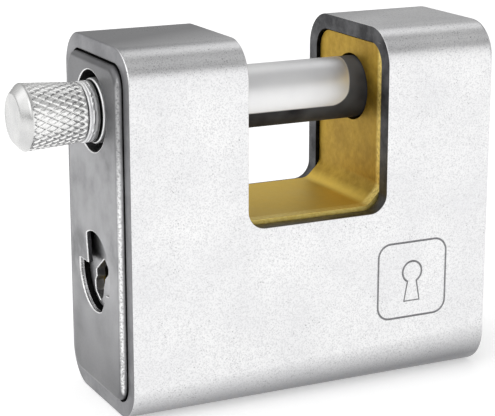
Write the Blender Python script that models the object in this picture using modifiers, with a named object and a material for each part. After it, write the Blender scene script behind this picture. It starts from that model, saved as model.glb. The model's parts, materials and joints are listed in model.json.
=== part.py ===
"""Armoured sliding-bolt padlock with a rotating-disc cylinder.

Frame: origin at the centre of the flat base, X along the bolt (knob at -X),
Y from front (-Y) to back, Z up. Lengths are metres.
The bolt is closed and the locking pin is drawn out of it.
"""
import math

import bmesh
import bpy
from mathutils import Matrix, Vector

MM = 0.001

# Armour casing
BODY_LENGTH = 75.0 * MM
BODY_DEPTH = 31.5 * MM
BODY_HEIGHT = 69.0 * MM
WALL = 3.0 * MM
CASING_CORNER = 7.0 * MM
CASING_END_EDGE = 0.8 * MM
CASING_RIM_EDGE = 0.3 * MM
NOTCH_HALF = 14.5 * MM
NOTCH_FLOOR = 34.5 * MM
NOTCH_CORNER = 3.5 * MM

# Fits
GAP = 0.3 * MM
STACK_GAP = 0.25 * MM
CUT_PAST = 2.0 * MM

# Axes of the moving parts
BOLT_Z = 56.0 * MM
CYLINDER_Z = 25.6 * MM
PIN_X = -19.4 * MM

# End plate
PLATE_PROUD = 1.2 * MM
PLATE_THICK = 4.0 * MM
PLATE_EDGE = 1.1 * MM
PLATE_LIP = 1.0 * MM
BOLT_HOLE_RADIUS = 7.5 * MM
KEYHOLE_RADIUS = 7.6 * MM
COUNTERBORE_RADIUS = 8.2 * MM
GUARD_SETBACK = 0.85 * MM
GUARD_THICK = 1.8 * MM

# Bolt and knob
BOLT_RADIUS = 6.0 * MM
BOLT_BORE_RADIUS = 6.5 * MM
BOLT_TIP_X = 29.0 * MM
BOLT_TRAVEL = 44.5 * MM
BOLT_TIP_EDGE = 1.2 * MM
SHANK_INSET = 0.2 * MM
GROOVE_WIDTH = 0.4 * MM
GROOVE_DEPTH = 1.0 * MM
COLLAR_PROUD = 2.2 * MM
COLLAR_RING = 0.2 * MM
KNOB_BASE_RADIUS = 5.5 * MM
KNOB_RADIUS = 6.15 * MM
KNOB_END_X = -53.5 * MM
KNOB_END_WALL = 3.0 * MM
STUD_RADIUS = 3.5 * MM

# Bolt stop and detent
STOP_X = -28.0 * MM
STOP_SCREW_RADIUS = 2.5 * MM
STOP_SHOULDER_Y = 8.8 * MM
STOP_POINT_RADIUS = 1.5 * MM
STOP_POINT_Y = 4.6 * MM
STOP_SLOT_HALF = 1.8 * MM
STOP_SLOT_FLOOR = 4.2 * MM
DETENT_BALL_RADIUS = 1.5 * MM
DETENT_CLEARANCE = 1.55 * MM
DETENT_WIRE = 0.4 * MM

# Core
FLOOR_RAISE = 0.8 * MM
TOWER_RECESS = 0.7 * MM
CORE_CHAMFER = 3.0 * MM
DOWEL_RADIUS = 1.5 * MM
DOWEL_REACH = 3.9 * MM
DOWEL_PLACES = {"plate_dowel_upper": (-7.0 * MM, 41.0 * MM), "plate_dowel_lower": (7.0 * MM, 11.5 * MM)}
CORE_PIN_RADIUS = 2.0 * MM
CORE_PIN_TOP_Z = 11.0 * MM
CORE_PIN_RECESS = 0.2 * MM
CORE_PIN_PLACES = {"core_pin_left": -7.0 * MM, "core_pin_right": 25.0 * MM}

# Cylinder
CYLINDER_BORE_RADIUS = 7.9 * MM
ROTOR_RADIUS = 7.6 * MM
ROTOR_REAR_WALL = 1.2 * MM
STUB_HALF = 1.8 * MM
DISC_RADIUS = 6.0 * MM
DISC_THICK = 1.0 * MM
SPACER_THICK = 0.4 * MM
CODE_STEPS = (2, 5, 1, 4, 0, 3)
CODE_STEP_ANGLE = math.radians(15.0)
DISC_KEYWAY_SCALE = 0.62
NOTCH_FLOOR_RADIUS = 4.9 * MM
SPACER_HOLE_RADIUS = 4.3 * MM
SIDEBAR_WIDTH = 1.2 * MM
SIDEBAR_LOW = 7.4 * MM
SIDEBAR_HIGH = 5.2 * MM
SCREW_HEAD_THICK = 1.2 * MM
SCREW_HEAD_RADIUS = 2.6 * MM
SCREW_SHANK_RADIUS = 0.8 * MM

# Locking pin and cam
CAM_LOW = 3.8 * MM
PIN_LIFT = 3.4 * MM
CAM_HALF = 2.0 * MM
PIN_RADIUS = 2.2 * MM
PIN_FOOT_RADIUS = 3.1 * MM
PIN_FOOT_THICK = 1.4 * MM
PIN_TIP_RADIUS = 1.5 * MM
PIN_TIP_LENGTH = 1.9 * MM
PIN_TOP_Z = 49.2 * MM
SPRING_SHOULDER_Z = 45.0 * MM
PIN_SPRING_WIRE = 0.5 * MM

# Facets
ROUND_STEPS = 48
SMALL_STEPS = 24

# Places worked out from the driving dimensions
LEFT_X = -BODY_LENGTH / 2
RIGHT_X = BODY_LENGTH / 2
PLATE_FACE_X = LEFT_X - PLATE_PROUD
PLATE_BACK_X = PLATE_FACE_X + PLATE_THICK
CORE_LEFT_X = PLATE_BACK_X + GAP
CORE_RIGHT_X = RIGHT_X - WALL - GAP
CORE_HALF_DEPTH = BODY_DEPTH / 2 - WALL - GAP
CORE_BOTTOM_Z = WALL + GAP
CORE_TOP_Z = BODY_HEIGHT - WALL - GAP
CORE_CORNER = CASING_CORNER - WALL - GAP
CORE_FLOOR_Z = NOTCH_FLOOR + FLOOR_RAISE
GUARD_FACE_X = PLATE_FACE_X + PLATE_LIP + GUARD_SETBACK
ROTOR_FRONT_X = GUARD_FACE_X + GUARD_THICK + GAP
DISC_COUNT = len(CODE_STEPS)
DISC_PITCH = DISC_THICK + SPACER_THICK + 2 * STACK_GAP
STACK_LENGTH = DISC_COUNT * DISC_PITCH - SPACER_THICK
ROTOR_WALL_X = ROTOR_FRONT_X + STACK_LENGTH
ROTOR_REAR_X = ROTOR_WALL_X + ROTOR_REAR_WALL
CAM_FRONT_X = ROTOR_REAR_X + GAP
CAM_REAR_X = PIN_X + CAM_HALF
CAM_THICK = CAM_REAR_X - CAM_FRONT_X
CYLINDER_END_X = CAM_REAR_X + 2 * GAP + SCREW_HEAD_THICK
PIN_TIP_Z = CYLINDER_Z + CAM_LOW + GAP

# Turns that point a shape's own Z axis along the world's X or Y
ALONG_X = Matrix(((0, 0, 1), (1, 0, 0), (0, 1, 0))).to_4x4()
ALONG_Y = Matrix(((1, 0, 0), (0, 0, 1), (0, -1, 0))).to_4x4()
ACROSS_Y = Matrix(((1, 0, 0), (0, 0, -1), (0, 1, 0))).to_4x4()
ALONG_Z = Matrix.Identity(4)


def clear_scene():
    for obj in list(bpy.data.objects):
        bpy.data.objects.remove(obj, do_unlink=True)


def new_collection(name):
    collection = bpy.data.collections.new(name)
    bpy.context.scene.collection.children.link(collection)
    return collection


def metal(name, colour, roughness, metallic=1.0):
    material = bpy.data.materials.new(name)
    material.use_nodes = True
    shader = material.node_tree.nodes["Principled BSDF"]
    shader.inputs["Base Color"].default_value = (*colour, 1.0)
    shader.inputs["Roughness"].default_value = roughness
    shader.inputs["Metallic"].default_value = metallic
    material.diffuse_color = (*colour, 1.0)
    return material


def place(obj, turn=ALONG_Z, at=(0.0, 0.0, 0.0)):
    obj.matrix_world = Matrix.Translation(Vector(at)) @ turn
    PARTS.objects.link(obj)
    return obj


def finish(obj, material):
    obj.data.materials.clear()
    obj.data.materials.append(material)
    return obj


def as_cutter(obj):
    PARTS.objects.unlink(obj)
    CUTTERS.objects.link(obj)
    obj.hide_render = True
    obj.display_type = "WIRE"
    return obj


def combine(target, other, operation):
    as_cutter(other)
    boolean = target.modifiers.new(other.name, "BOOLEAN")
    boolean.operation = operation
    boolean.solver = "EXACT"
    boolean.object = other


def cut(target, *cutters):
    for cutter in cutters:
        combine(target, cutter, "DIFFERENCE")


# ---- Shape makers ---------------------------------------------------------

def block(name, low, high, rounded=(), at=(0.0, 0.0, 0.0)):
    """A box with some edges rounded: rounded holds (edge test, radius, segments)."""
    low, high = Vector(low), Vector(high)
    mesh = bpy.data.meshes.new(name)
    shape = bmesh.new()
    bmesh.ops.create_cube(shape, size=1.0)
    bmesh.ops.scale(shape, vec=high - low, verts=shape.verts)
    bmesh.ops.translate(shape, vec=(low + high) / 2, verts=shape.verts)
    for wanted, radius, segments in rounded:
        edges = [edge for edge in shape.edges if wanted(edge)]
        bmesh.ops.bevel(
            shape, geom=edges, offset=radius, segments=segments, profile=0.5, affect="EDGES")
    shape.to_mesh(mesh)
    shape.free()
    return place(bpy.data.objects.new(name, mesh), at=at)


def runs_along(axis):
    """True for an edge of a box that runs along the axis."""
    def test(edge):
        step = edge.verts[1].co - edge.verts[0].co
        return abs(step[axis]) > 0.9 * step.length
    return test


def lies_at(axis, value):
    """True for an edge on the flat end at that place along the axis."""
    def test(edge):
        return all(abs(vert.co[axis] - value) < 1e-6 for vert in edge.verts)
    return test


def rounded_bar(name, x_range, half_depth, z_range, corner, segments, ends=()):
    """A bar along X with its four long edges rounded, then the edges of some ends."""
    low = (x_range[0], -half_depth, z_range[0])
    high = (x_range[1], half_depth, z_range[1])
    rounded = [(runs_along(0), corner, segments)]
    rounded += [(lies_at(0, x), radius, steps) for x, radius, steps in ends]
    return block(name, low, high, rounded)


def rod(name, radius, start, end, turn=ALONG_X, at=(0.0, 0.0, 0.0), steps=SMALL_STEPS):
    """A plain cylinder from start to end along its own axis."""
    mesh = bpy.data.meshes.new(name)
    shape = bmesh.new()
    bmesh.ops.create_cone(
        shape, cap_ends=True, segments=steps, radius1=radius, radius2=radius, depth=end - start)
    bmesh.ops.translate(shape, vec=(0.0, 0.0, (start + end) / 2), verts=shape.verts)
    shape.to_mesh(mesh)
    shape.free()
    mesh.shade_smooth()
    mesh.set_sharp_from_angle(angle=math.radians(40))
    return place(bpy.data.objects.new(name, mesh), turn, at)


def turned(name, profile, turn=ALONG_X, at=(0.0, 0.0, 0.0), steps=ROUND_STEPS):
    """A turned solid. The profile holds (radius, height), top to bottom on its outer side."""
    points = [(radius, 0.0, height) for radius, height in profile]
    edges = [(i, i + 1) for i in range(len(points) - 1)]
    mesh = bpy.data.meshes.new(name)
    mesh.from_pydata(points, edges, [])
    obj = bpy.data.objects.new(name, mesh)
    screw = obj.modifiers.new("Turn", "SCREW")
    screw.steps = steps
    screw.render_steps = steps
    screw.use_merge_vertices = True
    screw.merge_threshold = 0.00001
    return place(obj, turn, at)


def outline(name, loops, thickness, turn=ALONG_X, at=(0.0, 0.0, 0.0)):
    """A flat plate from closed outlines, the inner ones being holes, centred on its place."""
    curve = bpy.data.curves.new(name, "CURVE")
    curve.dimensions = "2D"
    curve.fill_mode = "BOTH"
    curve.extrude = thickness / 2
    for loop in loops:
        spline = curve.splines.new("POLY")
        spline.points.add(len(loop) - 1)
        for point, (x, y) in zip(spline.points, loop):
            point.co = (x, y, 0.0, 1.0)
        spline.use_cyclic_u = True
    return as_mesh(place(bpy.data.objects.new(name, curve), turn, at))


def as_mesh(obj):
    """The same object as a closed mesh, with its caps welded."""
    name = obj.name
    obj.name = name + "_curve"
    bpy.context.view_layer.update()
    evaluated = obj.evaluated_get(bpy.context.evaluated_depsgraph_get())
    mesh = bpy.data.meshes.new_from_object(evaluated)
    mesh.name = name
    shape = bmesh.new()
    shape.from_mesh(mesh)
    bmesh.ops.remove_doubles(shape, verts=shape.verts, dist=0.000001)
    shape.to_mesh(mesh)
    shape.free()
    solid = bpy.data.objects.new(name, mesh)
    solid.matrix_world = obj.matrix_world
    bpy.data.objects.remove(obj, do_unlink=True)
    PARTS.objects.link(solid)
    return solid


def coil(name, radius, wire, low, high, turns, turn=ALONG_Z, at=(0.0, 0.0, 0.0)):
    """A compression spring along its own Z axis, wire centre from low to high."""
    points_per_turn = 12
    curve = bpy.data.curves.new(name, "CURVE")
    curve.dimensions = "3D"
    curve.bevel_depth = wire / 2
    curve.bevel_resolution = 1
    curve.use_fill_caps = True
    count = turns * points_per_turn + 1
    spline = curve.splines.new("POLY")
    spline.points.add(count - 1)
    for index, point in enumerate(spline.points):
        angle = math.tau * index / points_per_turn
        height = low + (high - low) * index / (count - 1)
        point.co = (radius * math.cos(angle), radius * math.sin(angle), height, 1.0)
    return as_mesh(place(bpy.data.objects.new(name, curve), turn, at))


def arc(radius, start, end, steps):
    """Points on a circle about the origin, angles in degrees."""
    angles = [math.radians(start + (end - start) * i / steps) for i in range(steps + 1)]
    return [(radius * math.cos(angle), radius * math.sin(angle)) for angle in angles]


def spun(points, angle, scale=1.0):
    """Points turned about the origin and scaled."""
    sine, cosine = math.sin(angle) * scale, math.cos(angle) * scale
    return [(x * cosine - y * sine, x * sine + y * cosine) for x, y in points]


# ---- Outlines across the cylinder's axis, as (y, z) from that axis ---------

def keyway_outline():
    """The bent key slot."""
    points = [
        (-0.5, 2.3), (-2.3, 0.9), (-2.2, -0.3), (-0.6, -1.5), (0.2, -3.4), (0.6, -5.2),
        (1.9, -6.4), (4.3, -5.0), (4.5, -3.1), (3.6, -2.1), (3.9, -0.9),
    ]
    return [(y * MM, z * MM) for y, z in points]


def keyhole_outline():
    """A round hole with two lugs that hold the key in while it is turned."""
    radius = KEYHOLE_RADIUS
    top_lug = [(3.1 * MM, 0.9 * MM)]
    front_lug = [(-5.6 * MM, -3.0 * MM), (-4.7 * MM, -4.8 * MM)]
    return top_lug + arc(radius, 59, 203, 23) + front_lug + arc(radius, 245, 366.5, 20)


def cam_outline():
    """A spiral that lifts evenly over a quarter turn, with a dwell at each end."""
    points = []
    for degrees in range(-250, 110, 5):
        if degrees >= 90:
            rise = 0.0
        elif degrees >= 0:
            rise = (90 - degrees) / 90
        elif degrees >= -20:
            rise = 1.0
        else:
            rise = max(0.0, 1.0 - (-20 - degrees) / 50)
        radius = CAM_LOW + PIN_LIFT * rise
        angle = math.radians(degrees)
        points.append((radius * math.cos(angle), radius * math.sin(angle)))
    return points


def square(half):
    return [(-half, -half), (half, -half), (half, half), (-half, half)]


def notched_circle(radius, floor_radius, half_width, steps):
    """A circle with a square notch at the bottom for the side bar."""
    half_angle = math.degrees(math.asin(half_width / radius))
    notch = [(-half_width, -floor_radius), (half_width, -floor_radius)]
    return notch + arc(radius, -90 + half_angle, 270 - half_angle, steps)


# ---- Casing, core and end plate ---------------------------------------------

def notch_cutter():
    def lower_corner(edge):
        return runs_along(1)(edge) and edge.verts[0].co.z < NOTCH_FLOOR + 0.1 * MM
    low = (-NOTCH_HALF, -BODY_DEPTH, NOTCH_FLOOR)
    high = (NOTCH_HALF, BODY_DEPTH, BODY_HEIGHT * 1.2)
    return block("casing_notch", low, high, [(lower_corner, NOTCH_CORNER, 6)])


def armour_casing():
    ends = [(RIGHT_X, CASING_END_EDGE, 2), (LEFT_X, CASING_RIM_EDGE, 1)]
    casing = rounded_bar(
        "armour_casing", (LEFT_X, RIGHT_X), BODY_DEPTH / 2, (0.0, BODY_HEIGHT), CASING_CORNER, 7, ends)
    cavity = rounded_bar(
        "casing_cavity", (LEFT_X - CUT_PAST, RIGHT_X - WALL), BODY_DEPTH / 2 - WALL,
        (WALL, BODY_HEIGHT - WALL), CASING_CORNER - WALL, 5)
    cut(casing, cavity, notch_cutter())
    for name, x in CORE_PIN_PLACES.items():
        hole = rod(
            name + "_hole", CORE_PIN_RADIUS + GAP, -CUT_PAST, WALL + CUT_PAST, ALONG_Z, (x, 0, 0))
        cut(casing, hole)
    return finish(casing, STEEL_PLATED)


def core_notch_cutter():
    """The notch seen from the front: recessed sides, raised floor, slanted corners."""
    half = NOTCH_HALF + TOWER_RECESS
    floor = CORE_FLOOR_Z
    top = BODY_HEIGHT * 1.2
    points = [
        (-half, top), (-half, floor + CORE_CHAMFER), (-half + CORE_CHAMFER, floor),
        (half - CORE_CHAMFER, floor), (half, floor + CORE_CHAMFER), (half, top),
    ]
    return outline("core_notch", [points], BODY_DEPTH, ACROSS_Y)


def core_body():
    core = rounded_bar(
        "core_body", (CORE_LEFT_X, CORE_RIGHT_X), CORE_HALF_DEPTH, (CORE_BOTTOM_Z, CORE_TOP_Z),
        CORE_CORNER, 5)
    cut(core, core_notch_cutter())
    cut_axle_bores(core)
    cut_stop_bores(core)
    for name, (y, z) in DOWEL_PLACES.items():
        dowel_end = CORE_LEFT_X + DOWEL_REACH + GAP
        bore = rod(
            name + "_bore", DOWEL_RADIUS + GAP, CORE_LEFT_X - CUT_PAST, dowel_end, ALONG_X, (0, y, z))
        cut(core, bore)
    for name, x in CORE_PIN_PLACES.items():
        bore = rod(
            name + "_bore", CORE_PIN_RADIUS + GAP, 0.0, CORE_PIN_TOP_Z + GAP, ALONG_Z, (x, 0, 0))
        cut(core, bore)
    return finish(core, BRASS)


def cut_axle_bores(core):
    """The bores for the bolt, the cylinder, its side bar and the locking pin."""
    open_end = CORE_LEFT_X - CUT_PAST
    bolt_axis = (0, 0, BOLT_Z)
    pin_axis = (PIN_X, 0, 0)
    bolt_end = BOLT_TIP_X + 2 * GAP
    foot_bore_radius = PIN_FOOT_RADIUS + GAP
    groove_place = (0, CYLINDER_BORE_RADIUS, CYLINDER_Z)
    cut(
        core,
        rod("bolt_bore", BOLT_BORE_RADIUS, open_end, bolt_end, ALONG_X, bolt_axis, ROUND_STEPS),
        rod("cylinder_bore", CYLINDER_BORE_RADIUS, open_end, CYLINDER_END_X, ALONG_X,
            (0, 0, CYLINDER_Z), ROUND_STEPS),
        rod("spring_bore", foot_bore_radius, CYLINDER_Z, SPRING_SHOULDER_Z, ALONG_Z, pin_axis),
        rod("pin_bore", PIN_RADIUS + GAP, CYLINDER_Z, BOLT_Z, ALONG_Z, pin_axis),
        rod("sidebar_groove", 1.0 * MM, open_end, ROTOR_REAR_X, ALONG_X, groove_place, 12),
    )


def cut_stop_bores(core):
    """The cross bores for the stop screw at the back and the detent at the front."""
    at = (STOP_X, 0, BOLT_Z)
    outside = CORE_HALF_DEPTH + CUT_PAST
    shoulder = STOP_SHOULDER_Y - GAP
    cut(
        core,
        rod("stop_screw_bore", STOP_SCREW_RADIUS + GAP, shoulder, outside, ALONG_Y, at),
        rod("stop_point_bore", STOP_POINT_RADIUS + GAP, 0.0, outside, ALONG_Y, at),
        rod("detent_bore", DETENT_BALL_RADIUS + GAP, -outside, 0.0, ALONG_Y, at),
    )


def end_plate():
    plate = rounded_bar(
        "end_plate", (PLATE_FACE_X, PLATE_BACK_X), CORE_HALF_DEPTH, (CORE_BOTTOM_Z, CORE_TOP_Z),
        CORE_CORNER, 5, [(PLATE_FACE_X, PLATE_EDGE, 3)])
    outside = PLATE_FACE_X - CUT_PAST
    inside = PLATE_BACK_X + CUT_PAST
    lip_back = PLATE_FACE_X + PLATE_LIP
    keyhole_end = lip_back + CUT_PAST / 2
    keyhole_place = ((outside + keyhole_end) / 2, 0, CYLINDER_Z)
    bolt_axis = (0, 0, BOLT_Z)
    keyhole_axis = (0, 0, CYLINDER_Z)
    cut(
        plate,
        rod("plate_bolt_hole", BOLT_HOLE_RADIUS, outside, inside, ALONG_X, bolt_axis, ROUND_STEPS),
        rod("plate_counterbore", COUNTERBORE_RADIUS, lip_back, inside, ALONG_X, keyhole_axis,
            ROUND_STEPS),
        outline("plate_keyhole", [keyhole_outline()], keyhole_end - outside, ALONG_X, keyhole_place),
    )
    for name, (y, z) in DOWEL_PLACES.items():
        seat_floor = dowel_start() - GAP
        cut(plate, rod(name + "_seat", DOWEL_RADIUS + GAP, seat_floor, inside, ALONG_X, (0, y, z)))
    return finish(plate, STEEL_HARD)


def dowel_start():
    return PLATE_FACE_X + 1.6 * MM


def fixings():
    for name, (y, z) in DOWEL_PLACES.items():
        dowel_end = CORE_LEFT_X + DOWEL_REACH
        finish(rod(name, DOWEL_RADIUS, dowel_start(), dowel_end, ALONG_X, (0, y, z)), STEEL_HARD)
    for name, x in CORE_PIN_PLACES.items():
        pin = rod(name, CORE_PIN_RADIUS, CORE_PIN_RECESS, CORE_PIN_TOP_Z, ALONG_Z, (x, 0, 0))
        finish(pin, STEEL_HARD)


# ---- Bolt ---------------------------------------------------------------------

def bolt_profile():
    """The bolt from its tip to the stud that carries the knob."""
    shoulder = BOLT_RADIUS - BOLT_TIP_EDGE
    groove = PLATE_FACE_X + SHANK_INSET
    collar = groove - GROOVE_WIDTH
    collar_end = PLATE_FACE_X - COLLAR_PROUD
    collar_radius = KNOB_BASE_RADIUS + 0.1 * MM
    groove_radius = collar_radius - GROOVE_DEPTH
    stud_end = KNOB_END_X + KNOB_END_WALL
    return [
        (0.0, BOLT_TIP_X), (shoulder, BOLT_TIP_X), (BOLT_RADIUS, BOLT_TIP_X - BOLT_TIP_EDGE),
        (BOLT_RADIUS, groove), (groove_radius, groove), (groove_radius, collar), (collar_radius, collar),
        (collar_radius, collar_end + 3 * COLLAR_RING),
        (collar_radius - COLLAR_RING, collar_end + 2 * COLLAR_RING),
        (collar_radius, collar_end + COLLAR_RING), (collar_radius, collar_end),
        (STUD_RADIUS, collar_end), (STUD_RADIUS, stud_end), (0.0, stud_end),
    ]


def detent_centre(shift=0.0):
    return (STOP_X + shift, -BOLT_RADIUS - DETENT_CLEARANCE, BOLT_Z)


def bolt_rod():
    bolt = turned("bolt_rod", bolt_profile(), ALONG_X, (0, 0, BOLT_Z))
    slot_low = (STOP_X - STOP_SLOT_HALF, STOP_SLOT_FLOOR, BOLT_Z - STOP_SLOT_HALF)
    slot_high = (STOP_X + BOLT_TRAVEL + STOP_SLOT_HALF, BOLT_RADIUS + CUT_PAST, BOLT_Z + STOP_SLOT_HALF)
    round_ends = [(runs_along(1), STOP_SLOT_HALF * 0.98, 4)]
    cut(bolt, block("bolt_stop_slot", slot_low, slot_high, round_ends))
    pocket_radius = PIN_RADIUS + GAP + 0.1 * MM
    pocket_top = PIN_TOP_Z + PIN_LIFT + 2 * GAP
    below = BOLT_Z - 2 * BOLT_RADIUS
    for name, shift in (("closed", 0.0), ("open", BOLT_TRAVEL)):
        place_x = (PIN_X + shift, 0, 0)
        dimple_radius = DETENT_BALL_RADIUS + GAP
        cut(
            bolt,
            rod("bolt_pocket_" + name, pocket_radius, below, pocket_top, ALONG_Z, place_x),
            ball("bolt_dimple_" + name, dimple_radius, detent_centre(shift)),
        )
    return finish(bolt, CHROME)


def bolt_knob():
    base = PLATE_FACE_X - COLLAR_PROUD - GAP
    bore = STUD_RADIUS + GAP
    bore_end = KNOB_END_X + KNOB_END_WALL - GAP
    profile = [
        (0.0, bore_end), (bore, bore_end), (bore, base), (KNOB_BASE_RADIUS, base),
        (KNOB_RADIUS, KNOB_END_X + 1.8 * MM), (KNOB_RADIUS - 0.25 * MM, KNOB_END_X + 0.8 * MM),
        (KNOB_RADIUS - 1.3 * MM, KNOB_END_X), (0.0, KNOB_END_X),
    ]
    return finish(turned("bolt_knob", profile, ALONG_X, (0, 0, BOLT_Z)), NICKEL)


def ball(name, radius, centre):
    mesh = bpy.data.meshes.new(name)
    shape = bmesh.new()
    bmesh.ops.create_uvsphere(shape, u_segments=16, v_segments=10, radius=radius)
    shape.to_mesh(mesh)
    shape.free()
    mesh.shade_smooth()
    return place(bpy.data.objects.new(name, mesh), at=centre)


def bolt_stop_and_detent():
    at = (STOP_X, 0, BOLT_Z)
    outer = CORE_HALF_DEPTH - GAP
    profile = [
        (0.0, outer), (STOP_SCREW_RADIUS, outer), (STOP_SCREW_RADIUS, STOP_SHOULDER_Y),
        (STOP_POINT_RADIUS, STOP_SHOULDER_Y), (STOP_POINT_RADIUS, STOP_POINT_Y), (0.0, STOP_POINT_Y),
    ]
    finish(turned("stop_screw", profile, ALONG_Y, at, SMALL_STEPS), STEEL_HARD)
    finish(ball("detent_ball", DETENT_BALL_RADIUS, detent_centre()), STEEL_HARD)
    low = -outer + DETENT_WIRE / 2
    high = detent_centre()[1] - DETENT_BALL_RADIUS - GAP - DETENT_WIRE / 2
    finish(coil("detent_spring", 1.1 * MM, DETENT_WIRE, low, high, 4, ALONG_Y, at), SPRING_STEEL)


# ---- Cylinder -------------------------------------------------------------------

def disc_place(x):
    return (x, 0, CYLINDER_Z)


def guard_disc():
    last_angle = 360 - 360 / ROUND_STEPS
    loops = [arc(CYLINDER_BORE_RADIUS, 0, last_angle, ROUND_STEPS - 1), keyway_outline()]
    middle = GUARD_FACE_X + GUARD_THICK / 2
    finish(outline("guard_disc", loops, GUARD_THICK, ALONG_X, disc_place(middle)), STEEL_HARD)


def rotor():
    sleeve = DISC_RADIUS + GAP
    profile = [
        (0.0, ROTOR_REAR_X), (ROTOR_RADIUS, ROTOR_REAR_X), (ROTOR_RADIUS, ROTOR_FRONT_X),
        (sleeve, ROTOR_FRONT_X), (sleeve, ROTOR_WALL_X), (0.0, ROTOR_WALL_X),
    ]
    body = turned("rotor", profile, ALONG_X, disc_place(0))
    stub_low = (ROTOR_REAR_X - ROTOR_REAR_WALL / 2, -STUB_HALF, CYLINDER_Z - STUB_HALF)
    stub_high = (CAM_REAR_X - 0.1 * MM, STUB_HALF, CYLINDER_Z + STUB_HALF)
    combine(body, block("rotor_stub", stub_low, stub_high), "UNION")
    slot_half = SIDEBAR_WIDTH / 2 + GAP
    slot_low = (sidebar_start() - GAP, -slot_half, CYLINDER_Z - ROTOR_RADIUS - CUT_PAST)
    slot_high = (sidebar_end() + GAP, slot_half, CYLINDER_Z - SIDEBAR_HIGH + GAP)
    screw_radius = SCREW_SHANK_RADIUS + GAP
    hole_start = ROTOR_REAR_X + 0.5 * MM
    hole_end = CAM_REAR_X + CUT_PAST
    cut(
        body,
        block("sidebar_slot", slot_low, slot_high),
        rod("cam_screw_hole", screw_radius, hole_start, hole_end, ALONG_X, disc_place(0), 16),
    )
    finish(body, BRASS)


def disc_stack():
    """Code discs with their side-bar notches in line, and the spacers between them."""
    notch_half = SIDEBAR_WIDTH / 2 + GAP
    rim = notched_circle(DISC_RADIUS, NOTCH_FLOOR_RADIUS, notch_half, 30)
    hole = arc(SPACER_HOLE_RADIUS, 0, 345, 23)
    x = ROTOR_FRONT_X + STACK_GAP
    for index, step in enumerate(CODE_STEPS, start=1):
        keyway = spun(keyway_outline(), step * CODE_STEP_ANGLE, DISC_KEYWAY_SCALE)
        disc_middle = disc_place(x + DISC_THICK / 2)
        finish(
            outline(f"code_disc_{index}", [rim, keyway], DISC_THICK, ALONG_X, disc_middle), DISC_STEEL)
        if index < DISC_COUNT:
            spacer_middle = disc_place(x + DISC_THICK + STACK_GAP + SPACER_THICK / 2)
            finish(
                outline(f"disc_spacer_{index}", [rim, hole], SPACER_THICK, ALONG_X, spacer_middle), BRASS)
        x += DISC_PITCH


def sidebar_start():
    return ROTOR_FRONT_X + 1.1 * MM


def sidebar_end():
    return ROTOR_WALL_X - 0.5 * MM


def sidebar():
    half = SIDEBAR_WIDTH / 2
    low = (sidebar_start(), -half, CYLINDER_Z - SIDEBAR_LOW)
    high = (sidebar_end(), half, CYLINDER_Z - SIDEBAR_HIGH)
    bar = block("sidebar", low, high, [(runs_along(0), 0.3 * MM, 2)])
    finish(bar, STEEL_HARD)


def cam_and_screw():
    loops = [cam_outline(), square(STUB_HALF + GAP)]
    cam_middle = disc_place(CAM_FRONT_X + CAM_THICK / 2)
    finish(outline("cam", loops, CAM_THICK, ALONG_X, cam_middle), STEEL_HARD)
    head_front = CAM_REAR_X + GAP
    head_rear = head_front + SCREW_HEAD_THICK
    shank_end = CAM_FRONT_X + 1.2 * MM
    profile = [
        (0.0, head_rear), (SCREW_HEAD_RADIUS, head_rear), (SCREW_HEAD_RADIUS, head_front),
        (SCREW_SHANK_RADIUS, head_front), (SCREW_SHANK_RADIUS, shank_end), (0.0, shank_end),
    ]
    finish(turned("cam_screw", profile, ALONG_X, disc_place(0), 16), STEEL_HARD)


# ---- Locking pin ------------------------------------------------------------------

def locking_pin():
    """The pin that the cam lifts into the bolt, and the spring that lowers it."""
    foot_low = PIN_TIP_Z + PIN_TIP_LENGTH
    foot_high = foot_low + PIN_FOOT_THICK
    edge = 0.4 * MM
    profile = [
        (0.0, PIN_TOP_Z), (PIN_RADIUS - edge, PIN_TOP_Z), (PIN_RADIUS, PIN_TOP_Z - edge),
        (PIN_RADIUS, foot_high), (PIN_FOOT_RADIUS, foot_high), (PIN_FOOT_RADIUS, foot_low),
        (PIN_TIP_RADIUS, foot_low),
    ]
    tip_centre = PIN_TIP_Z + PIN_TIP_RADIUS
    tip = [(radius, tip_centre + height) for radius, height in arc(PIN_TIP_RADIUS, 0, -90, 5)]
    profile += tip[:-1] + [(0.0, PIN_TIP_Z)]
    finish(turned("locking_pin", profile, ALONG_Z, (PIN_X, 0, 0), SMALL_STEPS), STEEL_HARD)
    low = foot_high + GAP + PIN_SPRING_WIRE / 2
    high = SPRING_SHOULDER_Z - GAP - PIN_SPRING_WIRE / 2
    mean_radius = (PIN_RADIUS + PIN_FOOT_RADIUS + GAP) / 2
    spring = coil(
        "locking_pin_spring", mean_radius, PIN_SPRING_WIRE, low, high, 6, ALONG_Z, (PIN_X, 0, 0))
    finish(spring, SPRING_STEEL)


clear_scene()
PARTS = new_collection("disc_padlock")
CUTTERS = new_collection("cutters")
STEEL_PLATED = metal("plated_steel", (0.78, 0.78, 0.79), 0.38)
STEEL_HARD = metal("hardened_steel", (0.50, 0.51, 0.53), 0.35)
CHROME = metal("chromed_bolt", (0.85, 0.86, 0.88), 0.12)
NICKEL = metal("satin_nickel", (0.76, 0.76, 0.75), 0.28)
BRASS = metal("brass", (0.60, 0.44, 0.16), 0.35)
DISC_STEEL = metal("disc_steel", (0.62, 0.60, 0.56), 0.30)
SPRING_STEEL = metal("spring_steel", (0.42, 0.43, 0.46), 0.30)

armour_casing()
core_body()
end_plate()
fixings()
bolt_rod()
bolt_knob()
bolt_stop_and_detent()
guard_disc()
rotor()
disc_stack()
sidebar()
cam_and_screw()
locking_pin()
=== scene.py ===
"""Looks of an armoured sliding-bolt padlock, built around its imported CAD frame.

X runs along the bolt (knob at -X), the front faces -Y, Z is up. Lengths are metres.
"""
import json
import math

import bmesh
import bpy
from mathutils import Matrix, Vector


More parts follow.
